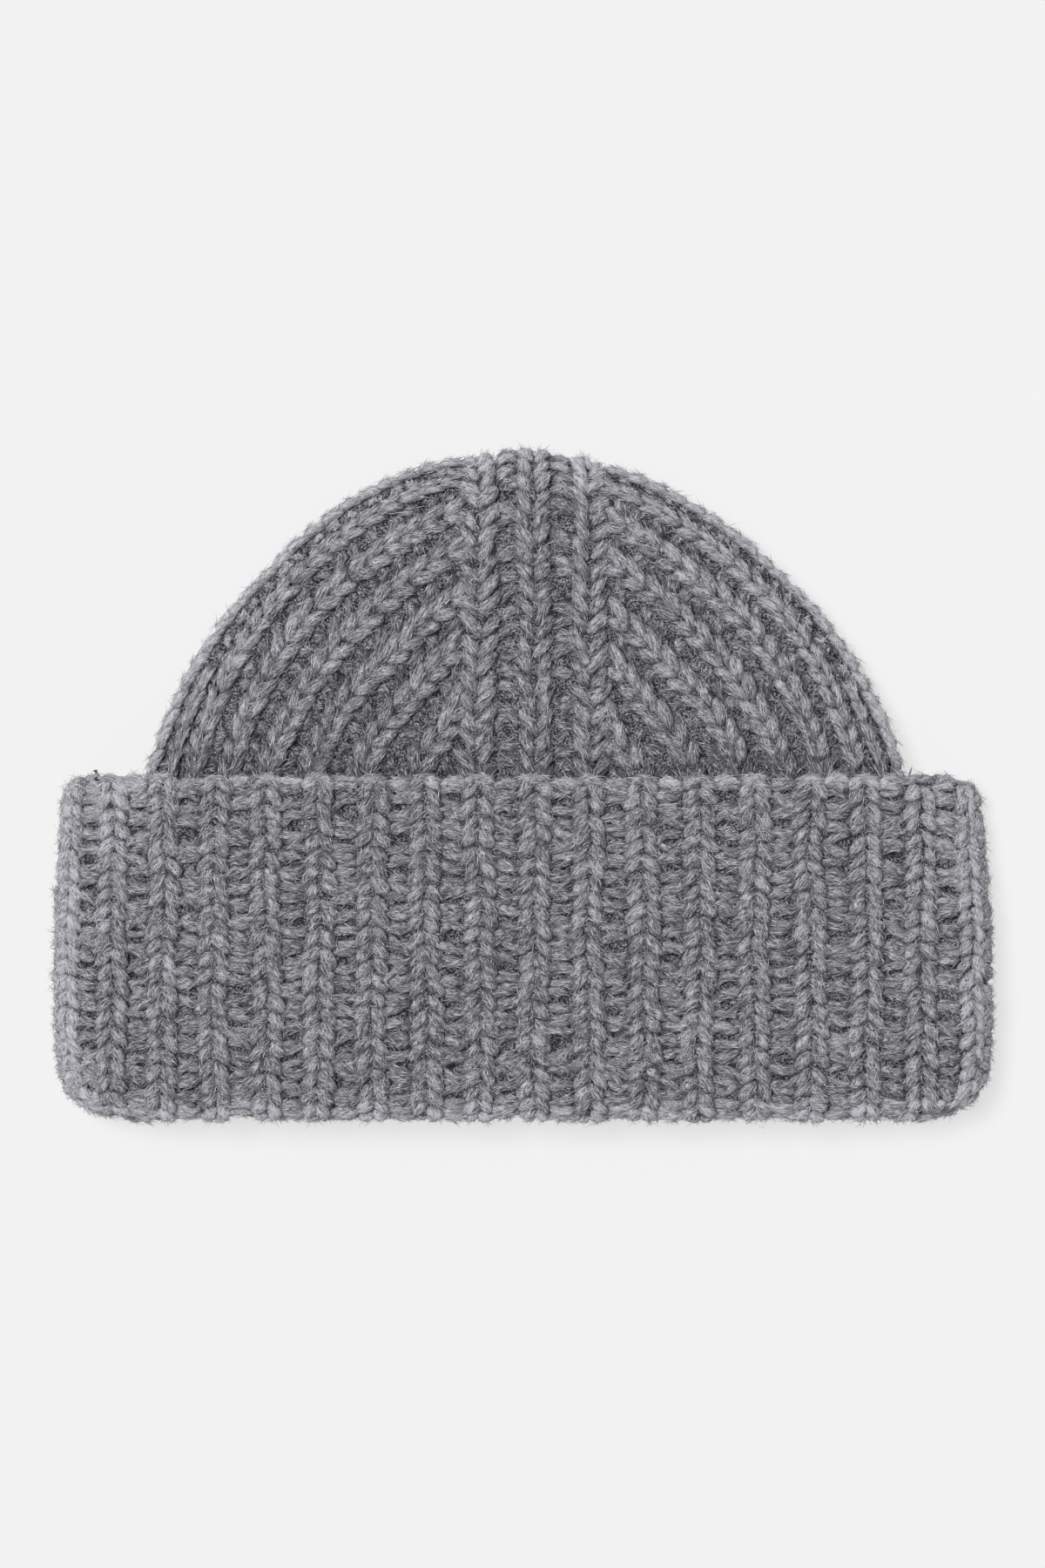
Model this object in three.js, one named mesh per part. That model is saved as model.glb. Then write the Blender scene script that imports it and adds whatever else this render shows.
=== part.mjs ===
import * as THREE from 'three';

// A chunky knit beanie with a turned-up cuff. It lies flat on its back with its front up.
// Units are millimetres. The floor is z = 0, the crown points to +Y and the mouth opens to -Y.
// The front centre rib is rib 0. Ribs are counted outwards from it to both sides.

// Sizes of the whole hat as it lies
const cuffWidth = 250;
const hatLength = 178.6;
const ribCount = 36;
const frontCentreX = 3;

// Knit wall, measured to the rib crests
const wall = 5.6;
const ribDepth = 2.4;
const shoulderDrop = 0.6;
const shoulderAt = 0.25;
const pieceGap = 0.5;
const seatGap = 0.3;

// Hollow inside the band: half its height in the middle and at the side folds
const hollowMiddle = 3.6;
const hollowSide = 1.6;
const hollowFlatness = 4;

// The crown is narrower than the cuff, so towards its free edge the cuff's corners lie on
// themselves: the hollow left at the side folds there, and how late the front starts to drop
const cornerHollow = 1.8;
const cornerFlatness = 9;
const cornerDropLength = 50;

// Cuff: its edges along Y, corner roundings seen from above, and the rolled edges
const foldY = -hatLength / 2;
const hemY = foldY + 6.3;
const cuffTopY = 2.6;
const bottomCorner = 14;
const topCorner = 7;

// The cuff's sides bow: it is narrower by these amounts at its free edge and at its fold. Top and
// bottom taper start at these places along Y.
const taper = {
  left: { top: 1.9, bottom: 3 },
  right: { top: 3.6, bottom: 2 },
};
const topTaperY = -45;
const bottomTaperY = -62;
const taperCurve = 1.5;

// The cuff's free edge, row by row: depth below the outside as a share of the wall, distance below
// the edge, the angle by which the row faces down from straight outwards, and its share of the ribs
const freeEdge = [
  { depth: 0.75, below: 0.3, lean: -90, relief: 0.2 },
  { depth: 0.38, below: 0, lean: -75, relief: 0.5 },
  { depth: 0.08, below: 1.3, lean: -35, relief: 0.9 },
  { depth: 0, below: 3.6, lean: 0, relief: 1 },
];
const freeEdgeInside = 2;

// Spacing of the cuff ribs over the front, in millimetres a rib, and how it grows to the right
const cuffPitch = 14.37;
const cuffPitchGrowth = 0.045;

// Crown: a centre panel of constant width between two border ribs. Beside each border rib the side
// ribs run in arcs about the foot of the border and end on it, one after the other.
const courseY = 1.85;
const panelHalfWidth = 15;
const panelArch = 2.4;

// Reach of each side from the foot of its border rib: at the cuff, halfway round and at the top
const reach = {
  left: { sign: -1, cuff: 87.4, middle: 78.2, top: 85.3, topCurve: 1.3, ribShift: -0.12 },
  right: { sign: 1, cuff: 83, middle: 74.2, top: 84.4, topCurve: 1.7, ribShift: 0.13 },
};
const cuffCurve = 1.7;

// Where the side ribs lie across a side, at three turns about the foot of the border. First is the
// rib number at the foot, and last is the one that would lie on the outline if the ribs near it
// didn't bunch up and roll over the edge. Crowding moves ribs towards the outline.
const ribFan = [
  { turn: 0, first: 1.1, last: 8.7, crowding: 0.45 },
  { turn: 45, first: 0.95, last: 7.6, crowding: 0.1 },
  { turn: 90, first: 0.1, last: 7.3, crowding: 0.15 },
];
const bunching = 0.14;

// How late the body widens inside the cuff, from the crown's width to the hem's
const bandWidening = 1.6;

// Heights of the crown, where it leaves the cuff and where it lies on the floor
const crownHeight = { atCuff: 24.3, free: 24, fall: 60 };
const underside = { atCuff: 6.2, free: 0, fall: 22 };
const rimHeight = { atCuff: 14.6, free: 9.4, fall: 30 };
const frontRoundness = 4;
const backRoundness = 7;

// The side ribs fade out over this width beside a border rib, and the underside's ribs are pressed
// flat over this share of the reach
const ribFadeWidth = 7;
const restingShare = 0.8;

// Mesh steps
const turnSteps = 15;
const ribSteps = [0, 0.24, 0.5, 0.76];
const panelRibs = [-1, -0.76, -0.5, -0.24, 0, 0.24, 0.5, 0.76, 1];
const borderRibs = [-1, 0.6, 1.05, 1.5, 1.76];
const outsideSteps = [0.26, 0.48, 0.7];
const bandRows = 4;
const foldSteps = 6;
const insideSteps = [0, 0.25, 0.5, 0.75, 1];
const innerTurnSteps = 8;
const innerShares = [0, 0.2, 0.4, 0.6, 0.78, 0.9, 0.97, 1];
const straightSteps = 12;
const sideFoldSteps = 10;

const pointsPerMillimetre = 200;

const knitColour = 0x77767b;
const knitRoughness = 0.95;

const lerp = (a, b, t) => a + (b - a) * t;
const clamp = (value, low, high) => Math.min(Math.max(value, low), high);
const smooth = (t) => {
  const k = clamp(t, 0, 1);
  return k * k * (3 - 2 * k);
};

// Depth of the knit below the rib crests, for a rib coordinate whose whole numbers are crests.
// A pressed rib keeps a flat crest, as the knit has where it lies on the floor.
function ribRelief(rib, pressed) {
  const off = Math.abs(rib - Math.round(rib));
  const shoulder = pressed ? 0 : shoulderDrop;
  if (off < shoulderAt) {
    return (shoulder * off) / shoulderAt;
  }
  return lerp(shoulder, ribDepth, smooth((off - shoulderAt) / (0.5 - shoulderAt)));
}

// A shell is built up from patches. Equal points are merged, and empty triangles are dropped.
class Shell {
  constructor() {
    this.points = [];
    this.faces = [];
    this.lookup = new Map();
  }

  point(p) {
    const key = p.map((value) => Math.round(value * pointsPerMillimetre)).join(' ');
    if (!this.lookup.has(key)) {
      this.lookup.set(key, this.points.length);
      this.points.push(p);
    }
    return this.lookup.get(key);
  }

  face(a, b, c, flip) {
    if (a !== b && b !== c && c !== a) {
      this.faces.push(flip ? [a, c, b] : [a, b, c]);
    }
  }

  // Rows of equally many points. Closed rows join their last point to their first.
  patch(rows, { flip = false, closed = false } = {}) {
    const grid = rows.map((row) => row.map((p) => this.point(p)));
    for (let i = 0; i + 1 < grid.length; i++) {
      const count = grid[i].length;
      for (let j = 0; j < (closed ? count : count - 1); j++) {
        const k = (j + 1) % count;
        this.face(grid[i][j], grid[i + 1][j], grid[i + 1][k], flip);
        this.face(grid[i][j], grid[i + 1][k], grid[i][k], flip);
      }
    }
  }

  // Two closed loops of different counts, joined by the share of the way round that each point has.
  zip(first, second, flip = false) {
    const a = first.map((item) => ({ at: item.at, id: this.point(item.p) }));
    const b = second.map((item) => ({ at: item.at, id: this.point(item.p) }));
    const round = (list, n) => list[n % list.length].at + Math.floor(n / list.length);
    let i = 0;
    let j = 0;
    while (i < a.length || j < b.length) {
      const nextA = round(a, i + 1);
      const nextB = round(b, j + 1);
      const idA = a[i % a.length].id;
      const idB = b[j % b.length].id;
      if (j >= b.length || (i < a.length && nextA <= nextB)) {
        this.face(idA, idB, a[(i + 1) % a.length].id, flip);
        i++;
      } else {
        this.face(idA, idB, b[(j + 1) % b.length].id, flip);
        j++;
      }
    }
  }

  geometry() {
    const geometry = new THREE.BufferGeometry();
    geometry.setAttribute('position', new THREE.Float32BufferAttribute(this.points.flat(), 3));
    geometry.setIndex(this.faces.flat());
    geometry.computeVertexNormals();
    return geometry;
  }
}

// The band is a flat loop. Its back is level, and its front sags towards the side folds.
// Depths are counted from the hollow outwards, so the outside of the cuff is at bandDepth.
const bandDepth = 2 * wall + pieceGap;
const cuffInside = bandDepth - wall;
const spineHalf = cuffWidth / 2 - hollowSide - bandDepth;
const sideFoldLength = Math.PI * (hollowSide + bandDepth);
const girth = 4 * spineHalf + 2 * sideFoldLength;
const sideExtreme = spineHalf + sideFoldLength / 2;
const outlineRib = ribCount / 4;

// How far the outline of the cuff lies inside its full width, at a place along Y
function sideInset(side, y) {
  const low = clamp(foldY + bottomCorner - y, 0, bottomCorner);
  const high = clamp(y - (cuffTopY - topCorner), 0, topCorner);
  const lowInset = bottomCorner - Math.sqrt(bottomCorner ** 2 - low ** 2);
  const highInset = topCorner - Math.sqrt(topCorner ** 2 - high ** 2);
  const upwards = clamp((y - topTaperY) / (cuffTopY - topTaperY), 0, 1);
  const downwards = clamp((bottomTaperY - y) / (bottomTaperY - foldY), 0, 1);
  const bow = side.top * upwards ** taperCurve + side.bottom * downwards ** taperCurve;
  return lowInset + highInset + bow;
}

// Distance round the band from the middle of its front to a rib, counted to the right
function ribDistance(rib) {
  const onFront = (n) => frontCentreX + cuffPitch * n + cuffPitchGrowth * n * n;
  if (rib <= outlineRib) {
    return onFront(rib);
  }
  const share = (rib - outlineRib) / (2 * outlineRib);
  return lerp(onFront(outlineRib), girth + onFront(-outlineRib), share);
}

// A point of the band at a distance round it, a place along Y and a depth. Drop is 0 where the
// cuff lies on the body to its side folds, and 1 where its corners lie on themselves.
function bandPoint(distance, y, depth, drop = 0) {
  const radius = lerp(hollowSide + depth, cornerHollow + depth - cuffInside, drop);
  const axisHeight = bandDepth - depth + radius;
  const round = (distance + sideExtreme + girth) % girth;
  const front = round < girth / 2;
  const x = front ? round - sideExtreme : girth - sideExtreme - round;
  const across = Math.abs(x);
  const spine = cuffWidth / 2 - axisHeight - sideInset(x < 0 ? taper.left : taper.right, y);
  if (across > spine) {
    const angle = (Math.PI / 2) * ((across - spine) / (sideExtreme - spine));
    const rise = radius * Math.cos(angle);
    return [Math.sign(x) * (spine + radius * Math.sin(angle)), y, axisHeight + (front ? rise : -rise)];
  }
  if (front) {
    const middleHeight = bandDepth + 2 * hollowMiddle + depth;
    const flatness = lerp(hollowFlatness, cornerFlatness, drop);
    return [x, y, lerp(middleHeight, axisHeight + radius, (across / spine) ** flatness)];
  }
  return [x, y, bandDepth - depth];
}

const cornerDrop = (y) => smooth((y - cuffTopY + cornerDropLength) / cornerDropLength);

// Share of the way round the band, for joining loops of different counts
const wayRound = (distance) => (distance + sideExtreme) / girth;
const onBack = (rib) => rib > outlineRib;

// Reach of a side from the foot of its border rib to the outline, at a turn in degrees
function outlineReach(side, turn) {
  const [end, curve] = turn < 45 ? [side.cuff, cuffCurve] : [side.top, side.topCurve];
  return side.middle + (end - side.middle) * (Math.abs(turn - 45) / 45) ** curve;
}

function fanRow(turn) {
  const upper = turn > 45;
  const [from, to] = upper ? ribFan.slice(1) : ribFan;
  const t = (turn - from.turn) / (to.turn - from.turn);
  const bend = upper ? t * t : smooth(t);
  const mixed = {};
  for (const column of ['first', 'last', 'crowding']) {
    mixed[column] = lerp(from[column], to[column], bend);
  }
  return mixed;
}

// Share of the reach at which a rib lies, from 0 at the foot of the border to 1 at the outline
function ribShare(side, rib, turn) {
  if (rib >= outlineRib) {
    return 1;
  }
  const row = fanRow(turn);
  const first = row.first + side.ribShift;
  const t = Math.max((rib - first) / (row.last - first), 0);
  const share = t + row.crowding * t * Math.max(1 - t, 0);
  const past = share - (1 - bunching);
  return past > 0 ? 1 - bunching * Math.exp(-past / bunching) : share;
}

const settle = (height, y) => lerp(height.atCuff, height.free, smooth((y - courseY) / height.fall));

// Height of a face of the crown at a share of the reach, and the way that it faces
function section(face, share, reachHere, y, inset = 0) {
  const front = face === 'front';
  const up = front ? 1 : -1;
  const rim = settle(rimHeight, y);
  const farthest = front ? settle(crownHeight, y) - inset : settle(underside, y) + inset;
  const rise = Math.abs(farthest - rim);
  const power = front ? frontRoundness : backRoundness;
  const level = Math.sqrt(Math.max(1 - share ** power, 0));
  const outward = (power * share ** (power - 1)) / reachHere;
  const upward = (2 * level) / rise;
  const length = Math.hypot(outward, upward);
  return { z: rim + up * rise * level, out: outward / length, up: (up * upward) / length };
}

// A point on the outside of a side of the crown, for a rib and a turn about the border's foot
function fanPoint(side, face, rib, turn) {
  const share = ribShare(side, rib, turn);
  const reachHere = outlineReach(side, turn);
  const along = Math.cos(THREE.MathUtils.degToRad(turn));
  const rise = Math.sin(THREE.MathUtils.degToRad(turn));
  const radius = share * reachHere;
  const cut = section(face, share, reachHere, courseY + radius * rise);
  const fade = smooth((radius * along) / ribFadeWidth);
  const depth = fade * ribRelief(rib, face === 'back' && share < restingShare);
  const reliefRadius = radius - depth * cut.out;
  return [
    frontCentreX + side.sign * (panelHalfWidth + reliefRadius * along),
    courseY + reliefRadius * rise,
    cut.z - depth * cut.up,
  ];
}

// A point on the outside of the centre panel, for a rib across it and the side rib level with it
function panelPoint(face, across, sideRib) {
  const blend = (across + 1) / 2;
  const leftShare = ribShare(reach.left, sideRib, 90);
  const rightShare = ribShare(reach.right, sideRib, 90);
  const share = lerp(leftShare, rightShare, blend);
  const flat = lerp(leftShare * reach.left.top, rightShare * reach.right.top, blend);
  const radius = flat + panelArch * (1 - across * across) * share * share;
  const cut = section(face, share, lerp(reach.left.top, reach.right.top, blend), courseY + radius);
  const depth = ribRelief(across, face === 'back' && share < restingShare);
  return [
    frontCentreX + across * panelHalfWidth,
    courseY + radius - depth * cut.out,
    cut.z - depth * cut.up,
  ];
}

const sideRibs = [...borderRibs];
for (let rib = 2; rib < outlineRib; rib++) {
  sideRibs.push(...ribSteps.map((step) => rib + step));
}

// The four sides of the crown's outside and its two centre panels
function crownOutside(shell) {
  const turns = Array.from({ length: turnSteps + 1 }, (_, n) => (90 * n) / turnSteps);
  const rowRibs = [...sideRibs, outlineRib];
  for (const face of ['front', 'back']) {
    for (const side of [reach.left, reach.right]) {
      const rows = turns.map((turn) => rowRibs.map((rib) => fanPoint(side, face, rib, turn)));
      shell.patch(rows, { flip: (side === reach.right) === (face === 'front') });
    }
    const panel = rowRibs.map((sideRib) => panelRibs.map((rib) => panelPoint(face, rib, sideRib)));
    shell.patch(panel, { flip: face === 'front' });
  }
}

// The crown's outside where it goes into the cuff, as a loop from the left outline over the front
function outerCourse() {
  const atFoot = borderRibs[0];
  const ribs = sideRibs.filter((rib) => rib > 1);
  const backMiddle = ribCount / 2;
  const side = (which, face, list, number) =>
    list.map((rib) => ({ p: fanPoint(which, face, rib, 0), rib: number(rib) }));
  const panel = (face, list, number) =>
    list.map((rib) => ({ p: panelPoint(face, rib, atFoot), rib: number(rib) }));
  const inwards = [...ribs].reverse();
  return [
    { p: fanPoint(reach.left, 'front', outlineRib, 0), rib: -outlineRib },
    ...side(reach.left, 'front', inwards, (rib) => -rib),
    ...panel('front', panelRibs, (rib) => rib),
    ...side(reach.right, 'front', ribs, (rib) => rib),
    { p: fanPoint(reach.right, 'front', outlineRib, 0), rib: outlineRib },
    ...side(reach.right, 'back', inwards, (rib) => backMiddle - rib),
    ...panel('back', [...panelRibs].reverse(), (rib) => backMiddle - rib),
    ...side(reach.left, 'back', ribs, (rib) => backMiddle + rib),
  ];
}

// A point on the inside of the crown: a side at a share of the reach, or the panel between them
function innerPoint(face, place, share, turn) {
  const side = place < 0 ? reach.left : reach.right;
  const along = Math.cos(THREE.MathUtils.degToRad(turn));
  const rise = Math.sin(THREE.MathUtils.degToRad(turn));
  const onSide = Math.abs(place) === 1;
  const middleReach = (reach.left.top + reach.right.top) / 2 + panelArch;
  const full = onSide ? outlineReach(side, turn) : middleReach;
  const radius = share * (full - wall);
  const y = courseY + radius * rise;
  const x = place * panelHalfWidth + (onSide ? side.sign * radius * along : 0);
  return [frontCentreX + x, y, section(face, share, full, y, wall).z];
}

function crownInside(shell) {
  const turns = Array.from({ length: innerTurnSteps + 1 }, (_, n) => (90 * n) / innerTurnSteps);
  for (const face of ['front', 'back']) {
    for (const place of [-1, 1]) {
      const row = (turn) => innerShares.map((share) => innerPoint(face, place, share, turn));
      const rows = turns.map(row);
      shell.patch(rows, { flip: (place > 0) !== (face === 'front') });
    }
    const panel = innerShares.map((share) => [-1, 0, 1].map((place) => innerPoint(face, place, share, 90)));
    shell.patch(panel, { flip: face !== 'front' });
  }
}

// The crown's inside where it goes into the cuff, with the matching distance round the hem
function innerCourse() {
  const outwards = innerShares.slice(1);
  const inwards = [...outwards].reverse();
  const panelEdge = ribDistance(1);
  const sideLength = sideExtreme - panelEdge;
  const item = (face, place, share, distance) => ({ p: innerPoint(face, place, share, 0), distance });
  const fromSide = (share) => (1 - share) * sideLength;
  return [
    ...inwards.map((share) => item('front', -1, share, fromSide(share) - sideExtreme)),
    ...[-1, 0, 1].map((place) => item('front', place, 0, place * panelEdge)),
    ...outwards.map((share) => item('front', 1, share, sideExtreme - fromSide(share))),
    ...inwards.slice(1).map((share) => item('back', 1, share, sideExtreme + fromSide(share))),
    ...[1, 0, -1].map((place) => item('back', place, 0, girth / 2 - place * panelEdge)),
    ...outwards.slice(0, -1).map((share) => item('back', -1, share, girth - sideExtreme - fromSide(share))),
  ];
}

// The knitted body: the crown, the band that runs on inside the cuff, and its hem at the fold
function crownGeometry() {
  const shell = new Shell();
  crownOutside(shell);
  crownInside(shell);
  const outer = outerCourse().map((item) => {
    const distance = ribDistance(item.rib);
    const depth = wall - ribRelief(item.rib, onBack(item.rib));
    return { top: item.p, p: bandPoint(distance, hemY, depth), at: wayRound(distance) };
  });
  const inner = innerCourse().map((item) => (
    { top: item.p, p: bandPoint(item.distance, hemY, 0), at: wayRound(item.distance) }
  ));
  // The body keeps the crown's width for a while inside the cuff, and then widens to its hem
  const between = (item, t) => {
    const [x, , z] = item.top.map((value, axis) => lerp(value, item.p[axis], t ** bandWidening));
    return [x, lerp(item.top[1], item.p[1], t), z];
  };
  const steps = Array.from({ length: bandRows + 1 }, (_, n) => n / bandRows);
  const rowsOf = (loop) => steps.map((t) => loop.map((item) => between(item, t)));
  shell.patch(rowsOf(outer), { closed: true });
  shell.patch(rowsOf(inner), { closed: true, flip: true });
  shell.zip(outer, inner);
  return shell.geometry();
}

// The cuff's outside, row by row from its free edge down and round the fold into the mouth
function cuffRows() {
  const rows = freeEdge.map((row) => (
    { ...row, depth: bandDepth - row.depth * wall, y: cuffTopY - row.below }
  ));
  for (const step of outsideSteps) {
    rows.push({ depth: bandDepth, y: lerp(cuffTopY, foldY, step), lean: 0, relief: 1 });
  }
  const foldRadius = bandDepth / 2;
  for (let step = 0; step < foldSteps; step++) {
    const lean = (180 * step) / foldSteps;
    const angle = THREE.MathUtils.degToRad(lean);
    rows.push({
      depth: foldRadius * (1 + Math.cos(angle)),
      y: foldY + foldRadius * (1 - Math.sin(angle)),
      lean,
      relief: lean <= 90 ? 1 : (180 - lean) / 90,
    });
  }
  return rows;
}

function cuffRing(row, ribs) {
  const lean = THREE.MathUtils.degToRad(row.lean);
  return ribs.map((rib) => {
    const distance = ribDistance(rib);
    const relief = row.relief * ribRelief(rib, onBack(rib));
    const y = row.y + relief * Math.sin(lean);
    const depth = row.depth - relief * Math.cos(lean);
    return { p: bandPoint(distance, y, depth, cornerDrop(y)), at: wayRound(distance) };
  });
}

// A plain ring of the cuff, with its stops close together round the side folds
function plainRing(y, depth) {
  const stops = [];
  for (const start of [-spineHalf - sideFoldLength, spineHalf]) {
    for (let n = 0; n < sideFoldSteps; n++) {
      stops.push(start + (sideFoldLength * n) / sideFoldSteps);
    }
    for (let n = 0; n < straightSteps; n++) {
      stops.push(start + sideFoldLength + (2 * spineHalf * n) / straightSteps);
    }
  }
  return stops
    .map((stop) => ({ p: bandPoint(stop, y, depth, cornerDrop(y)), at: (wayRound(stop) + 1) % 1 }))
    .sort((a, b) => a.at - b.at);
}

// The turned-up cuff: outside, fold, the seat that faces the body's hem, and the inside
function cuffGeometry() {
  const shell = new Shell();
  const ribs = [];
  for (let rib = -outlineRib; rib < 3 * outlineRib; rib++) {
    ribs.push(...ribSteps.map((step) => rib + step));
  }
  const rings = cuffRows().map((row) => cuffRing(row, ribs));
  shell.patch(rings.map((ring) => ring.map((item) => item.p)), { closed: true });
  const seatY = hemY - seatGap;
  const lip = plainRing(seatY, 0);
  const edgeY = cuffTopY - freeEdgeInside;
  const insideRows = insideSteps.map((step) => plainRing(lerp(seatY, edgeY, step), cuffInside));
  const edge = insideRows[insideRows.length - 1];
  shell.zip(rings[rings.length - 1], lip);
  shell.patch([lip, ...insideRows].map((ring) => ring.map((item) => item.p)), { closed: true });
  shell.zip(edge, rings[0]);
  return shell.geometry();
}

function knitPiece(name, geometry) {
  const material = new THREE.MeshStandardMaterial({ color: knitColour, roughness: knitRoughness });
  const mesh = new THREE.Mesh(geometry, material);
  mesh.name = name;
  return mesh;
}

const beanie = new THREE.Group();
beanie.add(knitPiece('crown', crownGeometry()));
beanie.add(knitPiece('cuff', cuffGeometry()));

export default beanie;
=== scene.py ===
# %% [markdown]
# # A chunky knit beanie
# A warm hat, knitted in one from thick grey wool: a ribbed crown and a turned-up cuff. It lies
# flat on its back on a pale floor and is seen from straight above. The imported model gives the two
# knitted walls with their ribs. This script lays the yarn on them, stitch by stitch, then the
# loose fibres, the colours, the light and the camera.

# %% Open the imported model
import math

import bmesh
import bpy
import mathutils
import numpy as np
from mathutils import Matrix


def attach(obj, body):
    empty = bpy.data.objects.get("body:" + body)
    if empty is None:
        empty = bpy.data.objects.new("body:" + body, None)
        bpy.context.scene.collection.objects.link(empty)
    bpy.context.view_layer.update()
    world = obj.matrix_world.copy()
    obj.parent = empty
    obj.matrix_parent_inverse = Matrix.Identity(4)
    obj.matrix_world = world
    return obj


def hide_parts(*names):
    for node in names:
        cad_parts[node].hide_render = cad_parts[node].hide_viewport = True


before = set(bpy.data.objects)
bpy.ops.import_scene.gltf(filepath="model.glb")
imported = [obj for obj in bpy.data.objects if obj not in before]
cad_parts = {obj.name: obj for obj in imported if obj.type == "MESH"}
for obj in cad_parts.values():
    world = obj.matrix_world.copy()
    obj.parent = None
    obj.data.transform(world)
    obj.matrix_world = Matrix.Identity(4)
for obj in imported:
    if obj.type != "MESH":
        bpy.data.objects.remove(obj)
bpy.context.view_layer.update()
print("nodes", sorted(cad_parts))

# %% [markdown]
# ## The sizes of the hat
# Yarn that is laid on a wall has to follow that wall exactly, so the sizes that shape the walls are
# named here again. They are in millimetres, because knitting is easier to think of in millimetres.
# They turn into metres only when a mesh is made. Only the reach of the crown's two sides is up to
# 1.2 mm more than the wall's, because the yarn stands out that far at the rim.

# %% Sizes of the cuff
MILLIMETRE = 0.001

CUFF_WIDTH = 250
HAT_LENGTH = 178.6
RIB_COUNT = 36
FRONT_CENTRE_X = 3

WALL = 5.6
PIECE_GAP = 0.5

# Half the height of the hollow in the middle and at the side folds, and how flat its top stays.
# At the free edge's corners it closes up
HOLLOW_MIDDLE = 3.6
HOLLOW_SIDE = 1.6
HOLLOW_FLATNESS = 4
CORNER_HOLLOW = 1.8
CORNER_FLATNESS = 9
CORNER_DROP_LENGTH = 50

FOLD_Y = -HAT_LENGTH / 2
CUFF_TOP_Y = 2.6
# The cuff's outline: rounded corners, and sides that slant in above and below
BOTTOM_CORNER = 14
TOP_CORNER = 7
LEFT_TAPER = {"top": 1.9, "bottom": 3}
RIGHT_TAPER = {"top": 3.6, "bottom": 2}
TOP_TAPER_Y = -45
BOTTOM_TAPER_Y = -62
TAPER_CURVE = 1.5
CUFF_PITCH = 14.37
CUFF_PITCH_GROWTH = 0.045
print("ribs", RIB_COUNT, "cuff", CUFF_WIDTH, "mm wide, hat", HAT_LENGTH, "mm long")

# %% Sizes of the crown
COURSE_Y = 1.85
PANEL_HALF_WIDTH = 15
PANEL_ARCH = 2.4

# Each side's reach at the cuff, half way round its curve and at the top, how quickly it gets
# there, and how far its ribs are shifted
LEFT = {"sign": -1, "cuff": 88.4, "middle": 79.1, "top": 86.3, "top_curve": 1.3, "rib_shift": -0.12}
RIGHT = {"sign": 1, "cuff": 84, "middle": 74.7, "top": 84.6, "top_curve": 1.7, "rib_shift": 0.13}
CUFF_CURVE = 1.7
MID_TURN = 45

# The fan of side ribs at the cuff, half way round and at the top: the rib at the border, the rib
# at the rim, and how the ribs crowd towards it
RIB_FAN = np.array([[1.1, 8.7, 0.45], [0.95, 7.6, 0.1], [0.1, 7.3, 0.15]])[..., None, None]
BUNCHING = 0.14

# Heights at the cuff and further up, and the length over which one settles into the other
CROWN_HEIGHT = (24.3, 24, 60)
UNDERSIDE = (6.2, 0, 22)
RIM_HEIGHT = (14.6, 9.4, 30)
FRONT_ROUNDNESS = 4
BACK_ROUNDNESS = 7
print("crown reaches", LEFT["cuff"], "mm to the left and", RIGHT["cuff"], "mm to the right")

# %% [markdown]
# ## The band as a surface
# The cuff is a flat loop of knitting. A place on it is a rib number round the loop and a distance
# along the rib. The distance starts at the free edge, runs down the outside, rolls round the fold
# and goes on into the mouth. That is the way the wool was knitted, so stitches can be counted along
# it. Every function works on whole arrays of places at once.

# %% Measures of the band
BAND_DEPTH = 2 * WALL + PIECE_GAP
CUFF_INSIDE = BAND_DEPTH - WALL
SPINE_HALF = CUFF_WIDTH / 2 - HOLLOW_SIDE - BAND_DEPTH
SIDE_FOLD_LENGTH = math.pi * (HOLLOW_SIDE + BAND_DEPTH)
GIRTH = 4 * SPINE_HALF + 2 * SIDE_FOLD_LENGTH
SIDE_EXTREME = SPINE_HALF + SIDE_FOLD_LENGTH / 2
OUTLINE_RIB = RIB_COUNT / 4


def lerp(a, b, t):
    return a + (b - a) * t


def smooth(t):
    k = np.clip(t, 0, 1)
    return k * k * (3 - 2 * k)


print("band", BAND_DEPTH, "mm thick, girth", round(GIRTH, 1), "mm")


# %% Outline of the cuff
def side_inset(on_left, y):
    """How far the cuff's outline lies inside its full width, at a place along Y."""
    low = np.clip(FOLD_Y + BOTTOM_CORNER - y, 0, BOTTOM_CORNER)
    high = np.clip(y - (CUFF_TOP_Y - TOP_CORNER), 0, TOP_CORNER)
    low_inset = BOTTOM_CORNER - np.sqrt(BOTTOM_CORNER**2 - low**2)
    high_inset = TOP_CORNER - np.sqrt(TOP_CORNER**2 - high**2)
    upwards = np.clip((y - TOP_TAPER_Y) / (CUFF_TOP_Y - TOP_TAPER_Y), 0, 1) ** TAPER_CURVE
    downwards = np.clip((BOTTOM_TAPER_Y - y) / (BOTTOM_TAPER_Y - FOLD_Y), 0, 1) ** TAPER_CURVE
    top = np.where(on_left, LEFT_TAPER["top"], RIGHT_TAPER["top"])
    bottom = np.where(on_left, LEFT_TAPER["bottom"], RIGHT_TAPER["bottom"])
    return low_inset + high_inset + top * upwards + bottom * downwards


print("corner at the fold cut back by", round(float(side_inset(True, FOLD_Y)), 1), "mm on the left")


# %% A point of the band
def rib_distance(rib):
    """Distance round the band from the middle of its front to a rib."""

    def on_front(n):
        return FRONT_CENTRE_X + CUFF_PITCH * n + CUFF_PITCH_GROWTH * n * n

    rib = (rib + OUTLINE_RIB) % RIB_COUNT - OUTLINE_RIB
    share = (rib - OUTLINE_RIB) / (2 * OUTLINE_RIB)
    on_back = lerp(on_front(OUTLINE_RIB), GIRTH + on_front(-OUTLINE_RIB), share)
    return np.where(rib <= OUTLINE_RIB, on_front(rib), on_back)


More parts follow.
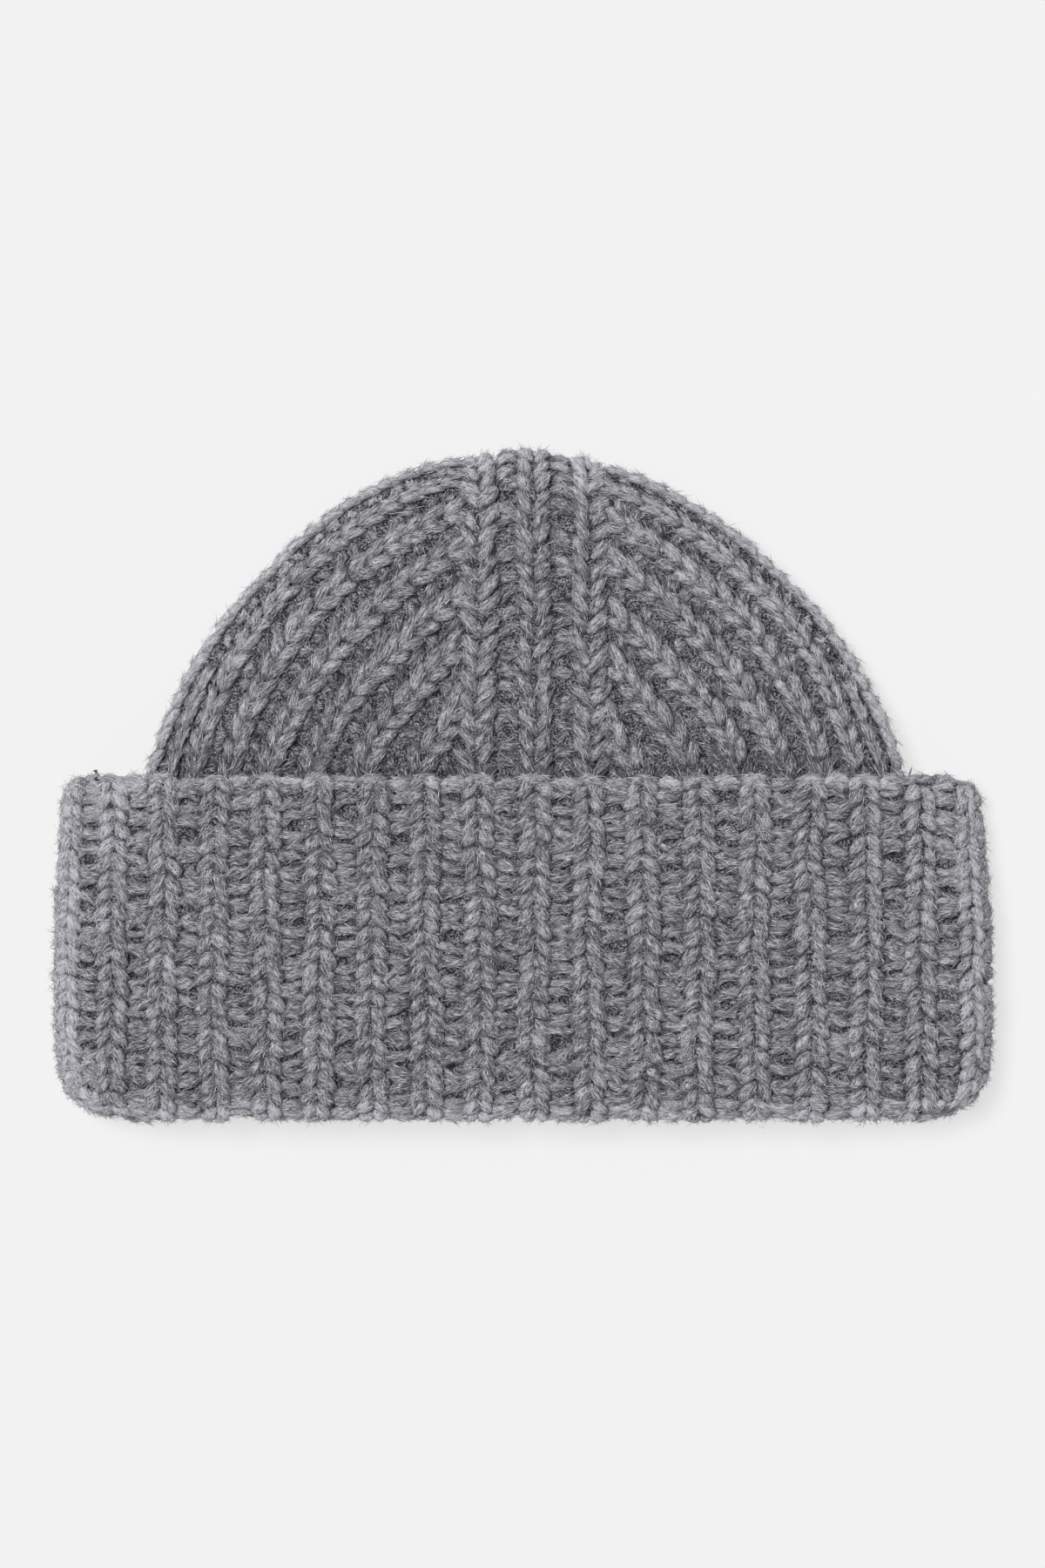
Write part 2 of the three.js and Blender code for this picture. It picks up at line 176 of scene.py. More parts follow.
def band_point(distance, y, depth):
    """A point of the band from its distance round, its place along Y and its depth outwards."""
    drop = smooth((y - CUFF_TOP_Y + CORNER_DROP_LENGTH) / CORNER_DROP_LENGTH)
    radius = lerp(HOLLOW_SIDE + depth, CORNER_HOLLOW + depth - CUFF_INSIDE, drop)
    axis = BAND_DEPTH - depth + radius
    way = (distance + SIDE_EXTREME + GIRTH) % GIRTH
    front = way < GIRTH / 2
    x = np.where(front, way - SIDE_EXTREME, GIRTH - SIDE_EXTREME - way)
    across = np.abs(x)
    spine = CUFF_WIDTH / 2 - axis - side_inset(x < 0, y)
    angle = (math.pi / 2) * np.clip((across - spine) / (SIDE_EXTREME - spine), 0, 1)
    flatness = lerp(HOLLOW_FLATNESS, CORNER_FLATNESS, drop)
    sag = np.clip(across / spine, 0, 1) ** flatness
    top = lerp(BAND_DEPTH + 2 * HOLLOW_MIDDLE + depth, axis + radius, sag)
    level = np.where(front, top, BAND_DEPTH - depth)
    on_fold = across > spine
    rise = radius * np.cos(angle)
    z = np.where(on_fold, axis + np.where(front, rise, -rise), level)
    x = np.where(on_fold, np.sign(x) * (spine + radius * np.sin(angle)), x)
    return np.stack(np.broadcast_arrays(x, y, z), axis=-1)


print("rib 9 lies", round(float(rib_distance(OUTLINE_RIB)), 1), "mm round the band")

# %% The surface of the cuff
EDGE_ROUND = 3.0
FOLD_RADIUS = BAND_DEPTH / 2
EDGE_LENGTH = EDGE_ROUND * math.pi / 2
FOLD_START = EDGE_LENGTH + CUFF_TOP_Y - EDGE_ROUND - FOLD_Y - FOLD_RADIUS
FOLD_END = FOLD_START + math.pi * FOLD_RADIUS
SCALLOP = 0.5
FOLD_SWAY = 0.4
FOLD_SWAY_RATE = 2.7


def cuff_surface(rib, along):
    """A point at crest level on the cuff. The fold swells under each rib and sways a little."""
    edge = (along / EDGE_ROUND).clip(-1, math.pi / 2)
    fold = ((along - FOLD_START) / FOLD_RADIUS).clip(0, math.pi)
    straight = np.clip(along, EDGE_LENGTH, FOLD_START) - EDGE_LENGTH
    inside = np.maximum(along - FOLD_END, 0)
    scallop = SCALLOP * np.cos(2 * math.pi * rib) + FOLD_SWAY * np.sin(FOLD_SWAY_RATE * rib)
    out = (FOLD_RADIUS + scallop) * np.sin(fold)
    y = CUFF_TOP_Y - EDGE_ROUND * (1 - np.cos(edge)) - straight - out + inside
    depth = BAND_DEPTH - EDGE_ROUND * (1 - np.sin(edge)) - FOLD_RADIUS * (1 - np.cos(fold))
    return band_point(rib_distance(rib), y, depth)


print("cuff from free edge to fold", round(FOLD_START, 1), "mm")

# %% [markdown]
# ## The crown as a surface
# The crown is shaped as the real one is: a centre panel of constant width between two border ribs,
# with side ribs that curve round the foot of each border and end on it. Each face bulges like a
# cushion and meets the other at the rim, where rib 9 runs. A rib number above 9 is on the back.
# A place on a side is given as a turn, from 0 degrees along the cuff to 90 along the border.


# %% The crown's bulge
def settled(height, y):
    at_cuff, free, fall = height
    return lerp(at_cuff, free, smooth((y - COURSE_Y) / fall))


def crown_height(front, share, y):
    """Height of the crown's front or back at a share of the way from the middle to the rim."""
    rim = settled(RIM_HEIGHT, y)
    power = np.where(front, FRONT_ROUNDNESS, BACK_ROUNDNESS)
    farthest = np.where(front, settled(CROWN_HEIGHT, y), settled(UNDERSIDE, y))
    return rim + (farthest - rim) * np.sqrt(np.clip(1 - share**power, 0, 1))


print("crown at the cuff", round(float(crown_height(True, 0.0, COURSE_Y)), 1), "mm high")

# %% The side ribs
RIM_HALF = 0.5


def fan_share(side, rib, turn):
    """Share of the reach at which a side rib lies, before the last half rib rolls over the rim."""
    lower = lerp(RIB_FAN[0], RIB_FAN[1], smooth(turn / MID_TURN))
    upper = lerp(RIB_FAN[1], RIB_FAN[2], ((turn - MID_TURN) / MID_TURN) ** 2)
    first, last, crowding = np.where(turn > MID_TURN, upper, lower)
    first = first + side["rib_shift"]
    t = np.maximum((rib - first) / (last - first), 0)
    share = t + crowding * t * np.maximum(1 - t, 0)
    past = share - (1 - BUNCHING)
    return np.where(past > 0, 1 - BUNCHING * np.exp(-past / BUNCHING), share)


def side_share(side, rib, turn):
    """Share of the reach for any rib from 1 to 17, smooth over the rim."""
    near = OUTLINE_RIB - np.abs(OUTLINE_RIB - rib)
    power = np.where(rib <= OUTLINE_RIB, FRONT_ROUNDNESS, BACK_ROUNDNESS)
    start = OUTLINE_RIB - RIM_HALF
    share = fan_share(side, np.minimum(near, start), turn)
    roll = np.arcsin(np.clip(share, 0, 1) ** (power / 2))
    rolled = lerp(roll, math.pi / 2, np.clip((near - start) / RIM_HALF, 0, 1))
    return np.where(near > start, np.sin(rolled) ** (2 / power), share)


def side_point(side, rib, turn, behind=0):
    """A point at crest level on a side of the crown. Behind counts back into the cuff."""
    share = side_share(side, rib, turn)
    end = np.where(turn < MID_TURN, side["cuff"], side["top"])
    curve = np.where(turn < MID_TURN, CUFF_CURVE, side["top_curve"])
    reach = side["middle"] + (end - side["middle"]) * (np.abs(turn - MID_TURN) / MID_TURN) ** curve
    radius = share * reach
    angle = np.radians(turn)
    y = COURSE_Y + radius * np.sin(angle)
    x = FRONT_CENTRE_X + side["sign"] * (PANEL_HALF_WIDTH + radius * np.cos(angle))
    z = crown_height(rib <= OUTLINE_RIB, share, y)
    return np.stack(np.broadcast_arrays(x, y + behind, z), axis=-1)


print("side ribs roll over the rim in their last", RIM_HALF, "rib")

# %% Way along a side rib
BORDER_REACH = 3.4
TURN_STEPS = 241


def travelled(points):
    """Distance gone along a line of points."""
    steps = np.linalg.norm(np.diff(points, axis=0), axis=1)
    return np.concatenate([[0], np.cumsum(steps)])


def side_surface(side, rib):
    """A surface that measures its way in millimetres along one side rib, and that rib's length."""
    turns = np.linspace(0, 2 * MID_TURN, TURN_STEPS)
    line = side_point(side, np.full((1, TURN_STEPS), float(rib)), turns[None])[0]
    distance = travelled(line)
    beside = np.abs(line[:, 0] - FRONT_CENTRE_X) - PANEL_HALF_WIDTH
    free = np.nonzero(beside > BORDER_REACH)[0]
    ends = distance[free[-1]] if len(free) else 0

    def surface(ribs, along):
        turn = np.interp(along, distance, turns)
        return side_point(side, ribs, turn, np.minimum(along, 0))

    return surface, ends


print("left rib 5 runs", round(float(side_surface(LEFT, 5)[1]), 1), "mm before it meets the border")

# %% The centre panel
RIM_ZONE = 0.3
near_rim = 1 - np.linspace(0, 1, 90) ** 2
front_ways = np.concatenate([np.linspace(0, 1 - RIM_ZONE, 80), 1 - RIM_ZONE * near_rim[1:]])
panel_ways = np.concatenate([front_ways, 2 - front_ways[-2::-1]])


def panel_point(across, way, behind=0):
    """A point at crest level on the centre panel. Way is 0 at the cuff, 1 at the rim, 2 behind."""
    share = 1 - np.abs(1 - way)
    blend = (across + 1) / 2
    reach = lerp(LEFT["top"], RIGHT["top"], blend)
    radius = share * reach + PANEL_ARCH * (1 - across**2) * share**2
    z = crown_height(way <= 1, share, COURSE_Y + radius)
    x = FRONT_CENTRE_X + across * PANEL_HALF_WIDTH
    return np.stack(np.broadcast_arrays(x, COURSE_Y + radius + behind, z), axis=-1)


panel_distance = travelled(panel_point(np.zeros_like(panel_ways), panel_ways))
PANEL_LENGTH = float(panel_distance[-1])


def panel_surface(ribs, along):
    way = np.interp(along, panel_distance, panel_ways)
    on_back = np.maximum(along - PANEL_LENGTH, 0)
    return panel_point(ribs, way, np.minimum(along, 0) - on_back)


print("centre rib from cuff over the top to the back", round(PANEL_LENGTH, 1), "mm")

# %% [markdown]
# ## Laying yarn
# A knit stitch shows as a V of two short lengths of yarn, and a purl stitch as a small crosswise
# bump. Each could be painted on or pushed out of the wall with a displacement map, but chunky wool
# stands up, casts shadows and breaks the outline, so every length is laid as its own tapered tube.
# A length is given by rib numbers and distances at seven stations, and the surface lifts it into
# place. Small chances in place, slope and thickness keep the rows from looking machined.

# %% Lengths of yarn
chance = np.random.default_rng(36)
STATIONS = np.array([0, 0.1, 0.3, 0.5, 0.7, 0.9, 1])
ROUNDING = np.array([0, 0.66, 0.95, 1, 0.95, 0.66, 0])
MIDDLE = len(STATIONS) // 2
TO_ENDS = (2 * STATIONS - 1) ** 2
RIB_STEP = 0.03
ALONG_STEP = 0.3
# Slow waves of the ribs: how far in ribs, over which length, and how they differ between ribs
SWAYS = ((0.026, 15, 1.9), (0.018, 6.3, 4.1))


def unit(vectors):
    return vectors / np.maximum(np.linalg.norm(vectors, axis=-1, keepdims=True), 1e-9)


def lie_of(surface, ribs, along, facing):
    """Points, outward directions and the width of a rib at places on a surface."""
    across = surface(ribs + RIB_STEP, along) - surface(ribs - RIB_STEP, along)
    onward = surface(ribs, along + ALONG_STEP) - surface(ribs, along - ALONG_STEP)
    pitch = np.linalg.norm(across, axis=-1) / (2 * RIB_STEP)
    return surface(ribs, along), facing * unit(np.cross(across, onward)), pitch


def sway(rib, along):
    """A slow wander of the ribs, in ribs, since no hand pulls every row alike."""
    return sum(size * np.sin(along / length + rib * step) for size, length, step in SWAYS)


def wander(spread, count, uneven):
    """A small chance difference for each of count lengths."""
    return chance.normal(0, spread, (count, 1)) * uneven


def gather(lengths, points, ups, half_width, thickness, shade):
    """Adds lengths with their middle line, sideways and upward directions, sizes and shade."""
    onward = unit(np.gradient(points, axis=1))
    sides = unit(np.cross(onward, ups))
    tops = np.cross(sides, onward)
    lengths.append((points, sides, tops, half_width, thickness, shade))


print("a length of yarn has", len(STATIONS), "stations")

# %% [markdown]
# ## The Vs of the knit stitches
# Down each rib runs a plait of Vs. The two legs of a V start close together, spread as the rib
# grows, and dip at both ends under the legs beside them. The cuff's legs are short, fat grains.
# The crown's are longer, and on its sides more even. So each part has its own values for a leg.

# %% Legs
# A leg's length in rows, its two ends in ribs from the middle of the V, its half width in
# millimetres and at most in ribs, the dip of its ends in millimetres, and how uneven it is
CUFF_LEG = {
    "length": 1.16, "foot": 0.02, "head": 0.285,
    "half_width": 1.7, "of_rib": 0.16, "dip": 1.15, "uneven": 1.3,
}
SIDE_LEG = {
    "length": 1.3, "foot": 0.03, "head": 0.275,
    "half_width": 1.72, "of_rib": 0.156, "dip": 1.1, "uneven": 0.75,
}
PANEL_LEG = {
    "length": 1.3, "foot": 0.04, "head": 0.27,
    "half_width": 1.55, "of_rib": 0.15, "dip": 1.2, "uneven": 1.3,
}
BORDER_LEG = {
    "length": 1.3, "foot": 0, "head": 0.31,
    "half_width": 1.65, "of_rib": 0.16, "dip": 1, "uneven": 1.6,
}
LEG_THICKNESS = 1.5
# By how much each of these strays by chance, as a spread round its own value
LEG_CHANCE = {
    "row": 0.07, "slope": 0.13, "length": 0.07,
    "across": 0.012, "height": 0.14, "fat": 0.07, "shade": 0.09,
}


def lay_legs(lengths, surface, facing, rib, rows, row_pitch, leg):
    """Both legs of each V along a rib. They start close together and spread as the rib grows."""
    count = 2 * len(rows)
    if not count:
        return
    hand = np.tile([-1.0, 1.0], len(rows))[:, None]
    uneven = leg["uneven"]
    row = np.repeat(rows, 2)[:, None] + wander(LEG_CHANCE["row"], count, uneven) * row_pitch
    slope = 1 + wander(LEG_CHANCE["slope"], count, uneven)
    spread = leg["foot"] + (leg["head"] - leg["foot"]) * (0.5 + (STATIONS - 0.5) * slope)
    length = leg["length"] * row_pitch * (1 + wander(LEG_CHANCE["length"], count, uneven))
    along = row + (STATIONS - 0.5) * length
    ribs = rib + hand * spread + sway(rib, along) + wander(LEG_CHANCE["across"], count, uneven)
    points, ups, pitch = lie_of(surface, ribs, along, facing)
    middle = np.minimum(leg["half_width"], leg["of_rib"] * pitch.mean(axis=1, keepdims=True))
    thick = np.minimum(LEG_THICKNESS, middle)
    height = -thick - leg["dip"] * TO_ENDS + wander(LEG_CHANCE["height"], count, uneven)
    fat = 1 + wander(LEG_CHANCE["fat"], count, uneven)
    half_width = middle * fat * ROUNDING
    thickness = thick * fat * ROUNDING
    shade = 1 + chance.normal(0, LEG_CHANCE["shade"], count)
    gather(lengths, points + ups * height[..., None], ups, half_width, thickness, shade)


print("a V of the cuff opens to", round(2 * CUFF_LEG["head"] * CUFF_PITCH, 1), "mm")

# %% [markdown]
# ## The bumps of the purl stitches
# Between two ribs the stitches show their backs: short crosswise bumps, sunk below the ribs. On the
# stretched cuff both halves of a stitch show, one arched up and one down. In the crown's narrower
# valleys one deep bump for each row is enough. The bumps carry painted shade for lying low, most
# of all in the crown.

# %% Bumps
# A bump's two ends in ribs after the rib, its arch and half width in rows, its thickness and how
# deep it lies in millimetres, how uneven it is, its shade beside that of a leg, which is painted
# shade for lying low in the valley, and whether both halves of the stitch show
CUFF_BUMP = {
    "from": 0.24, "to": 0.76, "arch": 0.27, "half_width": 0.29, "thickness": 1.2,
    "depth": 1.0, "uneven": 1.5, "shade": 0.93, "paired": True,
}
CROWN_BUMP = {
    "from": 0.3, "to": 0.7, "arch": 0.25, "half_width": 0.28, "thickness": 1.2,
    "depth": 2.4, "uneven": 1.2, "shade": 0.64, "paired": False,
}
PANEL_BUMP = {
    "from": 0.27, "to": 0.73, "arch": 0.25, "half_width": 0.32, "thickness": 1.2,
    "depth": 1.7, "uneven": 1.5, "shade": 0.8, "paired": False,
}
PAIR_SHIFT = 0.04
BUMP_DIP = 0.9
EDGE_FILL = 0.8
# By how much each of these strays by chance, as a spread round its own value
BUMP_CHANCE = {
    "row": 0.08, "arch": 0.17, "tilt": 0.27,
    "across": 0.02, "height": 0.16, "fat": 0.09, "shade": 0.09,
}


def lay_bumps(lengths, surface, facing, rib, rows, row_pitch, bump):
    """The crosswise bumps of each purl stitch in the valley after a rib."""
    hand = np.ones((len(rows), 1))
    if bump["paired"]:
        rows = np.concatenate([rows - row_pitch / 4, rows + row_pitch / 4])
        hand = np.concatenate([hand, -hand])
    count = len(rows)
    if not count:
        return
    uneven = bump["uneven"]
    row = rows[:, None] + wander(BUMP_CHANCE["row"], count, uneven) * row_pitch
    bend = hand * bump["arch"] + wander(BUMP_CHANCE["arch"], count, uneven)
    arch = bend * row_pitch * (1 - TO_ENDS)
    tilt = (STATIONS - 0.5) * wander(BUMP_CHANCE["tilt"], count, uneven) * row_pitch
    along = row + arch + tilt
    shift = hand * PAIR_SHIFT + wander(BUMP_CHANCE["across"], count, uneven)
    ribs = rib + lerp(bump["from"], bump["to"], STATIONS) + shift + sway(rib, along)
    points, ups, pitch = lie_of(surface, ribs, along, facing)
    deep = np.minimum(1, pitch.mean(axis=1, keepdims=True) / CUFF_PITCH)
    # Valleys are filled where the wall turns steep, so the outline has no deep notches
    level = 1 - EDGE_FILL * (1 - np.abs(ups[..., 2]))
    height = -bump["depth"] * level - bump["thickness"] * deep - BUMP_DIP * TO_ENDS
    height = height + wander(BUMP_CHANCE["height"], count, uneven)
    fat = 1 + wander(BUMP_CHANCE["fat"], count, uneven)
    half_width = bump["half_width"] * row_pitch * fat * ROUNDING * np.ones_like(pitch)
    thickness = bump["thickness"] * deep * fat * ROUNDING
    shade = bump["shade"] + chance.normal(0, BUMP_CHANCE["shade"], count)
    gather(lengths, points + ups * height[..., None], ups, half_width, thickness, shade)


def rows_between(start, end, pitch):
    return start + pitch * np.arange(max(int((end - start) / pitch) + 1, 0))


print("a bump of the crown lies", CROWN_BUMP["depth"], "mm below the ribs")

# %% [markdown]
# ## The cuff's stitches
# The cuff was knitted from its free edge, and turning it up shows its rows upside down: the Vs
# spread towards the fold. The free edge is finished with a row of rounded loops, one over each
# rib and one over each valley. Each rib starts its rows a little earlier or later than the next.

# %% Loops of the free edge
CUFF_FACING = -1
CORNER_SINK = 3.5
CORNER_RIBS = 0.6
# A loop's reach to both sides in ribs, its place from the free edge and its depth in millimetres
RIB_LOOP = {"reach": 0.31, "along": 0.9, "depth": 1.55}
VALLEY_LOOP = {"reach": 0.24, "along": 1.7, "depth": 2.6}
LOOP_BEND = 1.5
LOOP_DIP = 0.5
LOOP_HALF_WIDTH = 1.75
LOOP_THICKNESS = 1.6
# Loops start darker than legs, which takes back part of the painted highlight they get where the
# free edge turns steep
LOOP_SHADE = 0.75
LOOP_CHANCE = {"across": 0.01, "along": 0.25, "fat": 0.08, "shade": 0.08}


def lay_edge_loops(lengths, rib):
    """A rounded loop that closes the free edge over a rib or a valley."""
    loop = RIB_LOOP if rib == round(rib) else VALLEY_LOOP
    ribs = rib + lerp(-loop["reach"], loop["reach"], STATIONS)[None]
    ribs = ribs + chance.normal(0, LOOP_CHANCE["across"])
    corner = CORNER_SINK if abs(abs(rib) - OUTLINE_RIB) < CORNER_RIBS else 0
    along = loop["along"] + corner + LOOP_BEND * TO_ENDS[None]
    along = along + chance.normal(0, LOOP_CHANCE["along"])
    points, ups, pitch = lie_of(cuff_surface, ribs, along, CUFF_FACING)
    height = -loop["depth"] - LOOP_DIP * TO_ENDS[None]
    fat = 1 + chance.normal(0, LOOP_CHANCE["fat"])
    half_width = LOOP_HALF_WIDTH * fat * ROUNDING[None]
    thickness = LOOP_THICKNESS * fat * ROUNDING[None]
    shade = np.array([LOOP_SHADE + chance.normal(0, LOOP_CHANCE["shade"])])
    gather(lengths, points + ups * height[..., None], ups, half_width, thickness, shade)


print("loops of the free edge", 2 * RIB_COUNT)

# %% Stitches of the cuff
CUFF_ROW = 4.2
FIRST_ROW = 4.6
START_CHANCE = 0.45
MOUTH_DEPTH = 9
cuff_lengths = []

for number in range(RIB_COUNT):
    rib = number - OUTLINE_RIB
    start = FIRST_ROW + chance.uniform(-START_CHANCE, START_CHANCE) * CUFF_ROW
    if abs(rib) == OUTLINE_RIB:
        start = start + CORNER_SINK
    rows = rows_between(start, FOLD_END + MOUTH_DEPTH, CUFF_ROW)
    middles = rows - CUFF_ROW / 2
    lay_legs(cuff_lengths, cuff_surface, CUFF_FACING, rib, rows, CUFF_ROW, CUFF_LEG)
    lay_bumps(cuff_lengths, cuff_surface, CUFF_FACING, rib, middles, CUFF_ROW, CUFF_BUMP)
    lay_edge_loops(cuff_lengths, rib)
    lay_edge_loops(cuff_lengths, rib + 0.5)
print("lengths of yarn on the cuff", sum(len(part[-1]) for part in cuff_lengths))

# %% [markdown]
# ## The crown's stitches
# The crown's rows grow upwards, so its Vs stand upright. The side ribs are stretched round the
# curve and their rows are longer than the centre panel's. Each side rib stops where the border rib
# covers it. The ribs beside the rim tuck under it soon after the cuff, and bumps go on in their
# place. All ribs start a little way inside the cuff.

# %% Stitches of the sides
SIDE_ROW = 5.9
INSIDE_CUFF = 13
LAST_SIDE_RIB = int(2 * OUTLINE_RIB) - 2
TUCKED_RIBS = (8, 10)
TUCKED_VALLEYS = (8, 9)
TUCKED_AFTER = 30
crown_lengths = []

for side in (LEFT, RIGHT):
    facing = side["sign"]
    for rib in range(2, LAST_SIDE_RIB + 1):
        surface, ends = side_surface(side, rib)
        start = -INSIDE_CUFF + chance.uniform(0, SIDE_ROW)
        if rib in TUCKED_RIBS:
            rows = rows_between(start, TUCKED_AFTER, SIDE_ROW)
            beyond = rows_between(rows[-1] + SIDE_ROW, ends, SIDE_ROW)
            lay_bumps(crown_lengths, surface, facing, rib - 0.5, beyond, SIDE_ROW, CROWN_BUMP)
        else:
            rows = rows_between(start, ends, SIDE_ROW)
        lay_legs(crown_lengths, surface, facing, rib, rows, SIDE_ROW, SIDE_LEG)
    for rib in range(1, LAST_SIDE_RIB + 1):
        surface, ends = side_surface(side, rib + 0.5)
        if rib in TUCKED_VALLEYS:
            ends = TUCKED_AFTER
        rows = rows_between(-INSIDE_CUFF + chance.uniform(0, SIDE_ROW), ends, SIDE_ROW)
        lay_bumps(crown_lengths, surface, facing, rib, rows, SIDE_ROW, CROWN_BUMP)
print("lengths of yarn on the sides", sum(len(part[-1]) for part in crown_lengths))

# %% Stitches of the panel and its borders
PANEL_ROW = 5.0
PANEL_FACING = 1
LEFT_BORDER, CENTRE_RIB, RIGHT_BORDER = -1, 0, 1

for rib in (LEFT_BORDER, CENTRE_RIB, RIGHT_BORDER):
    start = -INSIDE_CUFF + chance.uniform(0, PANEL_ROW)
    rows = rows_between(start, PANEL_LENGTH + INSIDE_CUFF, PANEL_ROW)
    middles = rows - PANEL_ROW / 2
    leg = PANEL_LEG if rib == CENTRE_RIB else BORDER_LEG
    lay_legs(crown_lengths, panel_surface, PANEL_FACING, rib, rows, PANEL_ROW, leg)
    if rib != RIGHT_BORDER:
        lay_bumps(crown_lengths, panel_surface, PANEL_FACING, rib, middles, PANEL_ROW, PANEL_BUMP)
print("lengths of yarn on the crown", sum(len(part[-1]) for part in crown_lengths))

# %% [markdown]
# ## From lengths to meshes
# All tubes have the same pattern of faces, so one pattern is repeated over all lengths in one
# array step, and a few thousand of them become one mesh. Where the hat rests on the floor the yarn
# is pressed flat, so no point goes below the floor. Each corner gets a place along and round its
# yarn for the material, and a place of its own in an even grid for later baking.

# %% The pattern of one tube
TUBE_SIDES = 8
TUBE_ANGLES = 2 * math.pi * np.arange(TUBE_SIDES) / TUBE_SIDES
RINGS = len(STATIONS) - 2
POINTS_PER_TUBE = 2 + RINGS * TUBE_SIDES


def tube_pattern():
    """Quads and triangles of one tube, with each corner's share along and round it."""
    quads, quad_places, triangles, triangle_places = [], [], [], []
    last = POINTS_PER_TUBE - 1
    for m in range(TUBE_SIDES):
        n = (m + 1) % TUBE_SIDES
        a, b = m / TUBE_SIDES, (m + 1) / TUBE_SIDES
        triangles.append((0, 1 + m, 1 + n))
        triangle_places.append(((0, (a + b) / 2), (STATIONS[1], a), (STATIONS[1], b)))
        ring = 1 + (RINGS - 1) * TUBE_SIDES
        triangles.append((last, ring + n, ring + m))
        triangle_places.append(((1, (a + b) / 2), (STATIONS[-2], b), (STATIONS[-2], a)))
        for r in range(RINGS - 1):
            low, high = 1 + r * TUBE_SIDES, 1 + (r + 1) * TUBE_SIDES
            s, t = STATIONS[r + 1], STATIONS[r + 2]
            quads.append((low + m, high + m, high + n, low + n))
            quad_places.append(((s, a), (t, a), (t, b), (s, b)))
    return [np.array(item) for item in (quads, quad_places, triangles, triangle_places)]


def tube_points(points, sides, tops, half_width, thickness):
    spread = sides[:, 1:-1, None] * (half_width[:, 1:-1, None] * np.cos(TUBE_ANGLES))[..., None]
    lift = tops[:, 1:-1, None] * (thickness[:, 1:-1, None] * np.sin(TUBE_ANGLES))[..., None]
    rings = (points[:, 1:-1, None] + spread + lift).reshape(len(points), -1, 3)
    return np.concatenate([points[:, :1], rings, points[:, -1:]], axis=1)


print("a tube has", POINTS_PER_TUBE, "points and", sum(map(len, tube_pattern()[::2])), "faces")

# %% Which lengths, and where
STAND_OUT = 0.5
FLOOR_CLEARANCE = 0.15
CELL_MARGIN = 0.06


def facing_up(tops):
    """How far each length faces up, from -1 to 1."""
    return tops[:, MIDDLE, 2]


def joined(lengths, keep):
    """The lengths whose outward direction passes a test, as one set of arrays."""
    parts = [np.concatenate(arrays) for arrays in zip(*lengths)]
    points, _, tops, _, thickness, _ = parts
    lowest = (points[..., 1] - thickness).min(axis=1)
    chosen = keep(facing_up(tops)) & (lowest > FOLD_Y - STAND_OUT)
    return [part[chosen] for part in parts]


def pressed(points):
    """Points in metres, with whatever hangs below the floor pressed up to it."""
    flat = points.reshape(-1, 3).copy()
    flat[:, 2] = np.maximum(flat[:, 2], FLOOR_CLEARANCE)
    return flat * MILLIMETRE


def grid_places(count, places):
    """Places in the unit square: one cell for each of count pieces, filled by the given shares."""
    columns = math.ceil(math.sqrt(count))
    cell = 1 / columns
    number = np.arange(count)
    corner = np.stack([number % columns, number // columns], axis=1) * cell
    inside = CELL_MARGIN + (1 - 2 * CELL_MARGIN) * places[None]
    return corner[:, None, None] + inside * cell


print("yarn may stand", STAND_OUT, "mm past the fold")

# %% [markdown]
# ## Light and dark of the yarn
# The render shades the tubes by itself, but real yarn is darker than a lamp alone makes it where it
# goes under its neighbour, because the fibres there lie in deep shade. So every point carries a
# shade, painted into its colour on top of a tone that differs at random: painted shade towards the
# ends and the underside of its length and in the strip of the crown that is tucked against the
# cuff, and a painted highlight where the wall turns steep and the fuzz catches light.

# %% Shade
# Painted shade towards a length's ends and underside with its share on each part, a painted
# highlight on steep walls, and painted shade by the cuff
END_PAINTED_SHADE = np.array([0.6, 0.72, 0.94, 1, 0.94, 0.72, 0.6])
UNDERSIDE_PAINTED_SHADE = 0.5
PAINTED_HOLLOW_SHADE = {"crown": 0.82, "cuff": 0.42}
RIM_PAINTED_LIGHT = 1.8
STEEPEST_PAINTED_LIGHT = 0.24
TUCK_PAINTED_SHADE = 0.6
TUCK_REACH = 4


def painted_tube_shade(painted_shade_share):
    """The painted shade of each point of a tube: darker towards its ends and its underside."""
    under = (1 - np.sin(TUBE_ANGLES)) / 2
    rings = (END_PAINTED_SHADE[1:-1, None] * (1 - UNDERSIDE_PAINTED_SHADE * under[None])).ravel()
    return 1 - painted_shade_share * (1 - np.concatenate([[END_PAINTED_SHADE[0]], rings, [END_PAINTED_SHADE[-1]]]))


def steepness(tops):
    """How steep the wall is under each length, from 0 where it lies level, for the painted
    highlight.
    """
    return np.minimum(1 - np.abs(facing_up(tops)), STEEPEST_PAINTED_LIGHT)


def painted_tuck_shade(points):
    """How much painted shade each length gets for lying in the corner by the cuff's free edge."""
    beyond = np.maximum(points[:, MIDDLE, 1] - CUFF_TOP_Y, 0)
    return TUCK_PAINTED_SHADE * np.exp(-beyond / TUCK_REACH)


for part, painted_shade_share in PAINTED_HOLLOW_SHADE.items():
    print("darkest point of a length on the", part, round(float(painted_tube_shade(painted_shade_share).min()), 2))

# %% Mesh of the yarn
YARN_ROUND = 10.0
YARN_LENGTH = 400


def new_mesh(name, points, faces, values, maps):
    mesh = bpy.data.meshes.new(name)
    mesh.from_pydata(points.tolist(), [], faces)
    for key, numbers in values.items():
        attribute = mesh.attributes.new(key, "FLOAT", "POINT")
        attribute.data.foreach_set("value", numbers.astype(np.float32))
    for key, places in maps.items():
        layer = mesh.uv_layers.new(name=key)
        layer.data.foreach_set("uv", places.astype(np.float32).ravel())
    mesh.polygons.foreach_set("use_smooth", np.ones(len(mesh.polygons), dtype=bool))
    mesh.update()
    return mesh


